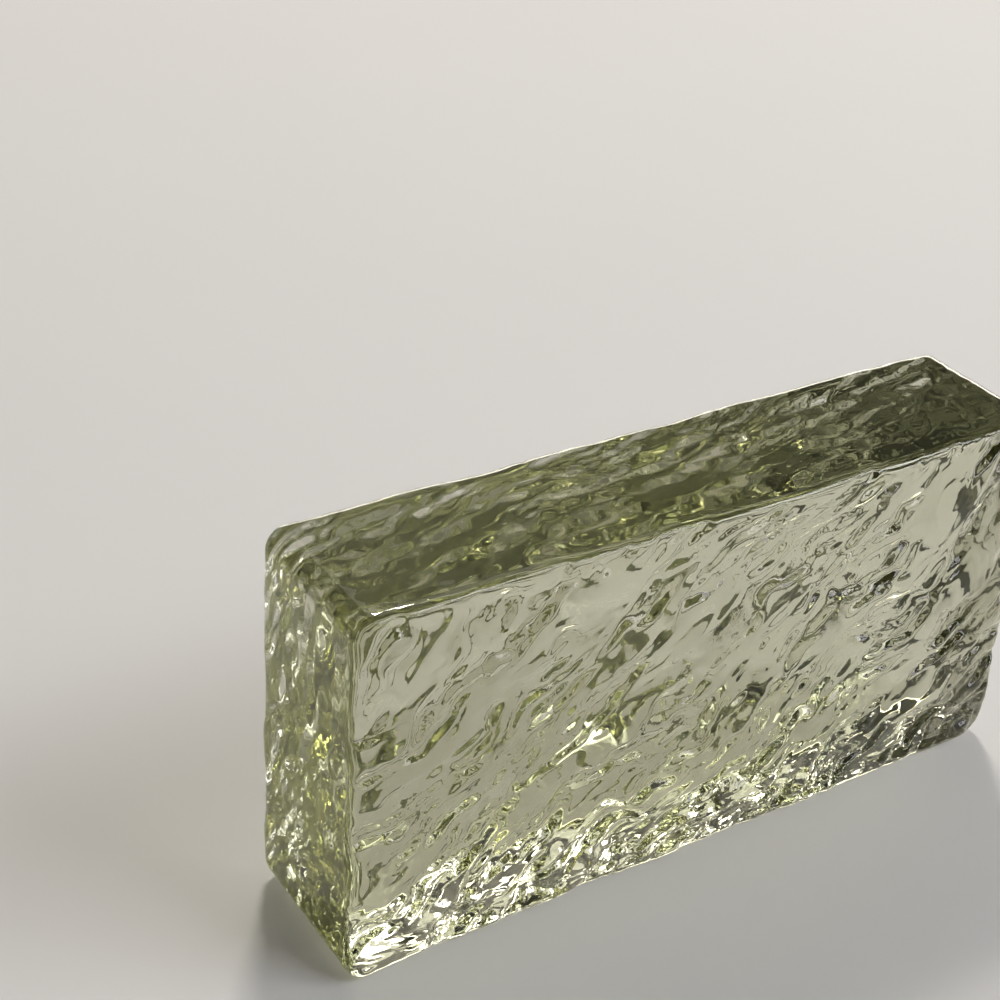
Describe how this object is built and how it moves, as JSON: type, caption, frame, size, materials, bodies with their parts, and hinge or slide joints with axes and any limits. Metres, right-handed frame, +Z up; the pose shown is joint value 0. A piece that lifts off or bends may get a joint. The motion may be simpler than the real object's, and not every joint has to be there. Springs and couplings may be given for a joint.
{
  "type": "solid glass block",
  "caption": "Solid cast glass building block with rippled large faces and smooth narrow sides, standing on its long side.",
  "frame": {"origin": "middle of the footprint, on the level surface that the block stands on", "axes": "+X along the length, +Y through the thickness from the front large face to the back one, +Z up"},
  "size_m": [0.2, 0.045, 0.1],
  "materials": {
    "green_grey_glass": "fire-polished clear cast glass, pale grey-green right through, rippled on the two large faces"
  },
  "bodies": {
    "root": {"glass_block": "green_grey_glass"}
  },
  "joints": []
}
